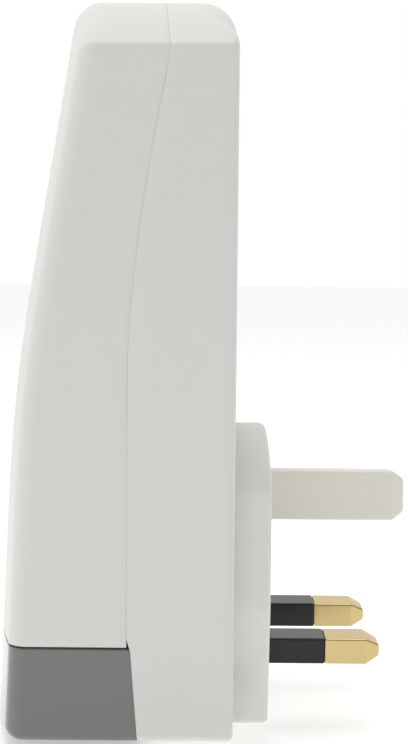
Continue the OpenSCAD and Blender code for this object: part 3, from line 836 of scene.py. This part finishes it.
# %% [markdown]
# The shutter's return spring is a coil of round wire. Its centre line is a helix whose turns bunch
# up at the ends, where a real coil is ground flat. It is swept here as a tube.

# %% Shutter spring
lean = math.radians(outlet_lean)
up_face = Vector((0, math.sin(lean), math.cos(lean)))
into_face = Vector((0, math.cos(lean), -math.sin(lean)))
coil_r, wire_r, turns = 1.15 * mm, 0.25 * mm, 7.0
spring_foot = Vector((0, outlet_y, outlet_z)) + into_face * 6.8 * mm - up_face * 14.6 * mm
spring_rise = 10.9 * mm


def coil_mesh(name, rings_per_turn=28, sides=10):
    """A tube along a helix, capped at both ends."""
    rings = int(turns * rings_per_turn)
    verts, faces = [], []
    for i in range(rings + 1):
        t = i / rings
        a = 2 * math.pi * turns * t
        eased = t - 0.035 * math.sin(2 * math.pi * t)
        out = Vector((1, 0, 0)) * math.cos(a) + into_face * math.sin(a)
        centre = spring_foot + up_face * (wire_r + (spring_rise - 2 * wire_r) * eased) + out * coil_r
        for k in range(sides):
            b = 2 * math.pi * k / sides
            verts.append(centre + out * (wire_r * math.cos(b)) + up_face * (wire_r * math.sin(b)))
    for i in range(rings):
        for k in range(sides):
            n = (k + 1) % sides
            faces.append((i * sides + k, i * sides + n, (i + 1) * sides + n, (i + 1) * sides + k))
    faces += [tuple(range(sides)), tuple(reversed(range(rings * sides, (rings + 1) * sides)))]
    return add_mesh(name, np.array(verts), faces)


spring = coil_mesh("return_spring")
shade_smooth(spring, 60)
print("spring from", round(spring_foot.z / mm, 1), "mm, rising", round(spring_rise / mm, 1), "mm")

# %% [markdown]
# Parts that keep the frame's own shape still need softer edges, because nothing real has a
# perfectly sharp one, and it is the thin highlight along an edge that makes a part look solid.
# Three modifiers do it without touching the mesh: Weld joins its split points, Decimate clears flat
# areas of needless edges, and Bevel rounds what is left.

# %% Softer edges on kept parts
def soften(node, width, degrees=30, segments=3):
    """Rounds the edges of a part that keeps the frame's mesh."""
    piece = nodes[node]
    weld = piece.modifiers.new("weld", "WELD")
    weld.merge_threshold = 0.002 * mm
    clear = piece.modifiers.new("clear", "DECIMATE")
    clear.decimate_type = "DISSOLVE"
    clear.angle_limit = math.radians(1)
    bevel = piece.modifiers.new("bevel", "BEVEL")
    bevel.width = width
    bevel.segments = segments
    bevel.limit_method = "ANGLE"
    bevel.angle_limit = math.radians(degrees)
    bevel.harden_normals = True


soft_edges_mm = {
    "earth_pin": 0.45, "live_pin": 0.4, "neutral_pin": 0.4, "live_sleeve": 0.35, "neutral_sleeve": 0.35,
    "display_frame": 0.25, "display_glass": 0.12, "light_guide": 0.12, "contact_strips": 0.3,
    "display_board": 0.12, "controller_chip": 0.12, "key_mat": 0.3, "shutter": 0.25, "contact_block": 0.3,
    "live_contact": 0.1, "neutral_contact": 0.1, "power_board": 0.12, "metering_chip": 0.12,
    "crystal_can": 0.35, "current_shunt": 0.12, "dropper_capacitor": 0.7, "varistor": 0.9,
    "smoothing_capacitor": 0.5, "backup_cell": 0.3, "cell_clip": 0.1, "board_link": 0.2,
    "insulation_sheet": 0.08, "live_feed_strap": 0.15, "live_load_strap": 0.15, "neutral_strap": 0.15,
    "board_screws": 0.2}
for node, width in soft_edges_mm.items():
    soften(node, width * mm)
print("parts with softened edges:", len(soft_edges_mm))

# %% [markdown]
# A material is a graph of nodes, but it reads better as arithmetic. Link wraps a socket so that
# sums and products of values add their Math nodes, and Finish adds every other node with its
# settings and its inputs.

# %% Shader arithmetic
class Link:
    """A value, colour or vector that comes out of a node."""

    def __init__(self, finish, socket):
        self.finish = finish
        self.socket = socket

    def math(self, operation, first, second):
        """Adds a Math node on two values."""
        return self.finish.node("ShaderNodeMath", {"operation": operation}, {0: first, 1: second})

    def __add__(self, other):
        return self.math("ADD", self, other)

    def __sub__(self, other):
        return self.math("SUBTRACT", self, other)

    def __rsub__(self, other):
        return self.math("SUBTRACT", other, self)

    def __mul__(self, other):
        return self.math("MULTIPLY", self, other)

    def __gt__(self, other):
        return self.math("GREATER_THAN", self, other)

    __radd__ = __add__
    __rmul__ = __mul__

    def __abs__(self):
        return self.math("ABSOLUTE", self, 0)


class Finish:
    """A material under construction."""

    def __init__(self, name):
        self.material = bpy.data.materials.new(name)
        self.material.use_nodes = True
        self.tree = self.material.node_tree
        self.tree.nodes.clear()
        self.output = self.tree.nodes.new("ShaderNodeOutputMaterial")

    def node(self, kind, settings=None, values=None, out=0):
        """Adds a node: its settings first, then its inputs as values or links."""
        made = self.tree.nodes.new(kind)
        for name, value in (settings or {}).items():
            if name == "stops":
                for stop, (place, colour) in zip(made.color_ramp.elements, value):
                    stop.position, stop.color = place, colour
            else:
                setattr(made, name, value)
        for name, value in (values or {}).items():
            if isinstance(value, Link):
                self.tree.links.new(value.socket, made.inputs[name])
            else:
                made.inputs[name].default_value = value
        return Link(self, made.outputs[out])

    def place(self):
        """The point's own place in the frame, in metres."""
        return self.node("ShaderNodeTexCoord", out="Object")

    def noise(self, place, scale, detail=2.0, rough=0.5):
        """A cloudy value between 0 and 1; scale is in features per metre."""
        return self.node("ShaderNodeTexNoise", None,
                         {"Vector": place, "Scale": scale, "Detail": detail, "Roughness": rough})

    def between(self, mask, first, second):
        """A colour that goes from the first to the second with a mask."""
        return self.node("ShaderNodeMix", {"data_type": "RGBA"}, {0: mask, 6: first, 7: second}, 2)

    def stretched(self, place, scales):
        """A place scaled by axis: a small scale draws noise out along it."""
        return self.node("ShaderNodeVectorMath", {"operation": "MULTIPLY"}, {0: place, 1: scales})

    def split(self, place, axis):
        """One coordinate of a place."""
        return self.node("ShaderNodeSeparateXYZ", None, {0: place}, axis)

    def bump(self, height, strength, depth):
        """A relief of a depth in metres, for a shader's normal."""
        return self.node("ShaderNodeBump", None, {"Height": height, "Strength": strength, "Distance": depth})

    def surface(self, values):
        """The main shader with its inputs."""
        return self.node("ShaderNodeBsdfPrincipled", None, values)

    def done(self, shader):
        """The finished material."""
        self.tree.links.new(shader.socket, self.output.inputs["Surface"])
        return self.material


def rgb(red, green, blue):
    """A display colour of three 8-bit values, as linear light."""
    return tuple((c / 255 / 12.92 if c <= 10 else ((c / 255 + 0.055) / 1.055) ** 2.4)
                 for c in (red, green, blue)) + (1.0,)


def shade_of(colour, factor):
    """A colour made lighter or darker."""
    return tuple(min(c * factor, 1.0) for c in colour[:3]) + (1.0,)


print("a mid grey is", round(rgb(128, 128, 128)[0], 3), "in linear light")

# %% [markdown]
# Moulded plastic is even in colour but not perfectly so: it carries a fine spark-eroded grain from
# its mould, slow changes of tone where it flowed, and faint handling marks that only show in its
# gloss. Each of these is a noise at its own scale, and none of them is strong.

# %% Moulded plastics
def moulded(name, colour, roughness, grain=2600.0, depth=0.03, tone=0.03, specular=0.4, coat=0.0):
    """A moulded plastic with grain, flow tone and handling marks."""
    finish = Finish(name)
    place = finish.place()
    flow = finish.noise(place, 22.0, 3.0)
    speck = finish.noise(place, grain, 2.0, 0.6)
    smear = finish.noise(finish.stretched(place, (1.0, 1.0, 0.35)), 70.0, 4.0, 0.65)
    mixed = flow * 0.7 + speck * 0.3
    base = finish.between(mixed, shade_of(colour, 1 - tone), shade_of(colour, 1 + tone))
    gloss = roughness - 0.06 + smear * 0.08 + speck * 0.05
    relief = finish.bump(speck, 0.25, depth * mm)
    return finish.done(finish.surface({"Base Color": base, "Roughness": gloss, "Normal": relief,
                                       "Specular IOR Level": specular, "Coat Weight": coat,
                                       "Coat Roughness": 0.15}))


finishes = {
    "white_plastic": moulded("white_plastic", rgb(228, 227, 223), 0.42),
    # Painted light: base_plastic is the same white plastic as the case, painted a shade lighter to lift the
    # shade the pad sits in beside the case.
    "base_plastic": moulded("base_plastic", rgb(231, 230, 226), 0.45),
    "grey_plastic": moulded("grey_plastic", rgb(109, 111, 107), 0.28, grain=1900.0, depth=0.006,
                            tone=0.05, specular=0.5, coat=0.8),
    "cream_plastic": moulded("cream_plastic", rgb(236, 233, 222), 0.4, grain=3000.0, depth=0.02),
    "sleeve_plastic": moulded("sleeve_plastic", rgb(21, 22, 25), 0.32, grain=3200.0, depth=0.02, tone=0.08),
    "black_plastic": moulded("black_plastic", rgb(30, 30, 33), 0.45, tone=0.1),
    "light_plastic": moulded("light_plastic", rgb(226, 228, 222), 0.3),
    "chip_plastic": moulded("chip_plastic", rgb(34, 34, 37), 0.55, grain=5200.0, depth=0.02, tone=0.12),
    "key_plastic": moulded("key_plastic", rgb(128, 130, 133), 0.48, grain=3600.0, depth=0.02, tone=0.05),
    "outlet_plastic": moulded("outlet_plastic", rgb(220, 219, 215), 0.4),
    "shutter_plastic": moulded("shutter_plastic", rgb(205, 205, 201), 0.38),
    "soft_rubber": moulded("soft_rubber", rgb(176, 178, 184), 0.7, grain=1500.0, tone=0.06, specular=0.25),
    "capacitor_red": moulded("capacitor_red", rgb(186, 58, 42), 0.3, grain=2000.0, tone=0.08, specular=0.5),
    "varistor_blue": moulded("varistor_blue", rgb(36, 74, 158), 0.25, grain=1400.0, depth=0.06,
                             tone=0.1, specular=0.5),
    "capacitor_sleeve": moulded("capacitor_sleeve", rgb(38, 40, 56), 0.28, depth=0.02, tone=0.1,
                                specular=0.5),
}
print("moulded finishes:", len(finishes))

# %% [markdown]
# Pins are drawn and milled brass: bright, faintly lined along their length and duller where they
# have been handled. Springs, screws and straps are the same recipe in other metals.

# %% Metals
def drawn_metal(name, colour, roughness, along, lines=900.0, tarnish=0.12):
    """A metal with fine drawing lines along one direction and patches of tarnish."""
    finish = Finish(name)
    place = finish.place()
    streak = finish.noise(finish.stretched(place, along), lines, 3.0, 0.7)
    patch = finish.noise(place, 160.0, 3.0)
    base = finish.between(patch, shade_of(colour, 1 - tarnish), shade_of(colour, 1 + tarnish / 2))
    gloss = roughness - 0.08 + streak * 0.14 + patch * 0.08
    relief = finish.bump(streak, 0.3, 0.01 * mm)
    return finish.done(finish.surface({"Base Color": base, "Roughness": gloss, "Normal": relief,
                                       "Metallic": 1.0}))


finishes["pin_brass"] = drawn_metal("pin_brass", rgb(212, 191, 138), 0.34, (1.0, 0.06, 1.0))
finishes["spring_steel"] = drawn_metal("spring_steel", rgb(196, 198, 202), 0.3, (1.0, 1.0, 1.0))
finishes["plated_steel"] = drawn_metal("plated_steel", rgb(206, 207, 210), 0.3, (1.0, 0.1, 1.0))
finishes["strap_copper"] = drawn_metal("strap_copper", rgb(214, 140, 104), 0.35, (1.0, 0.1, 0.1))
print("metals: 4")

# %% [markdown]
# The window is clear plastic with a black border printed round its edge, which hides the ledge it
# is glued to. One material holds both: a mask from the place on the lens chooses between a clear
# shader and the ink. The film behind it is an unlit liquid-crystal display, a dull grey-green with
# a faint cross-hatch, and it shows nothing, because the meter is unplugged.

# %% Window, film, board and sheet
def printed_lens():
    """Clear plastic with an inked border."""
    finish = Finish("clear_lens")
    place = finish.place()
    margin = 2.5 * mm
    across = abs(finish.split(place, "X")) > lens_size[0] / 2 - margin
    up = abs(finish.split(place, "Z") - lens_z) > lens_size[1] / 2 - margin
    border = finish.node("ShaderNodeMath", {"operation": "MAXIMUM"}, {0: across, 1: up})
    haze = finish.noise(place, 120.0, 4.0)
    clear = finish.surface({"Base Color": rgb(205, 214, 210), "Roughness": haze * 0.06,
                            "Transmission Weight": 1.0, "IOR": 1.2})
    ink = finish.surface({"Base Color": finish.between(haze, rgb(20, 21, 23), rgb(26, 27, 30)),
                          "Roughness": 0.1 + haze * 0.08, "Coat Weight": 0.6, "Coat Roughness": 0.05})
    return finish.done(finish.node("ShaderNodeMixShader", None, {0: border, 1: clear, 2: ink}))


def display_film():
    """An unlit liquid-crystal film with its faint rows."""
    finish = Finish("display_film")
    place = finish.place()
    fine = finish.noise(place, 900.0, 2.0)
    broad = finish.noise(place, 60.0, 2.0)
    rows = finish.node("ShaderNodeTexWave", {"bands_direction": "Z"}, {"Vector": place, "Scale": 320.0})
    base = finish.between(rows * 0.5 + fine * 0.5, rgb(122, 131, 112), rgb(134, 143, 122))
    return finish.done(finish.surface({"Base Color": base, "Roughness": 0.16 + broad * 0.1}))


def laminate():
    """A green board with raised copper tracks under its lacquer."""
    finish = Finish("board_laminate")
    place = finish.place()
    weave = finish.node("ShaderNodeTexChecker", None, {"Vector": place, "Scale": 1800.0}, "Fac")
    tracks = finish.noise(finish.stretched(place, (1.0, 1.0, 0.25)), 420.0, 0.0)
    copper = tracks > 0.56
    mixed = copper * 0.75 + weave * 0.2
    base = finish.between(mixed, rgb(18, 74, 44), rgb(44, 122, 72))
    return finish.done(finish.surface({"Base Color": base, "Roughness": 0.32 + weave * 0.1,
                                       "Normal": finish.bump(copper, 0.3, 0.03 * mm)}))


def insulating_film():
    """A cloudy cream insulating sheet."""
    finish = Finish("insulating_film")
    place = finish.place()
    cloud = finish.noise(place, 90.0, 4.0)
    base = finish.between(cloud, rgb(226, 222, 196), rgb(238, 234, 212))
    return finish.done(finish.surface({"Base Color": base, "Roughness": 0.3 + cloud * 0.15}))


finishes["clear_lens"] = printed_lens()
finishes["display_film"] = display_film()
finishes["board_laminate"] = laminate()
finishes["insulating_film"] = insulating_film()
print("finishes:", len(finishes))

# %% [markdown]
# Every part of the frame takes the finish of its own slot, and every rebuilt piece takes the slot
# of the part that it stands for, rides on the same body and hides that part.

# %% Finish, ride and replace
slot_of = {part["node"]: part["material_slot"] for part in frame["record"]["subparts"]}


def dress(piece, finish):
    """Gives a piece one finish."""
    piece.data.materials.clear()
    piece.data.materials.append(finish)


for name, piece in nodes.items():
    for holder in piece.material_slots:
        holder.material = finishes[slot_of[name]]

rebuilt = [(front_case, "front_shell", "case"), (trim_case, "lower_trim", "case"),
           (rear_case, "rear_shell", "case"), (pad, "plug_base", "case"), (screws, "case_screws", "case"),
           (lens, "display_lens", "case"), (plate, "outlet_face", "case"),
           (spring, "shutter_spring", "case")]
rebuilt += [(keys[body], body, body) for body in keys]
for piece, node, body in rebuilt:
    dress(piece, finishes[slot_of[node]])
    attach(piece, body)
    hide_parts(node)
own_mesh(spring)
print("rebuilt pieces:", len(rebuilt))

# %% [markdown]
# The floor is a matt pale sheet. It gives off a little light of its own, as a lit table does, so
# that it stays near white and only the contact shadow shows.

# %% Floor finish
matt = Finish("floor_sheet")
fleck = matt.noise(matt.place(), 40.0, 3.0)
pale = matt.between(fleck, rgb(243, 243, 243), rgb(247, 247, 247))
dress(floor, matt.done(matt.surface({"Base Color": pale, "Roughness": 0.8 + fleck * 0.1,
                                     "Emission Color": (1, 1, 1, 1), "Emission Strength": 0.4})))
print("floor dressed")
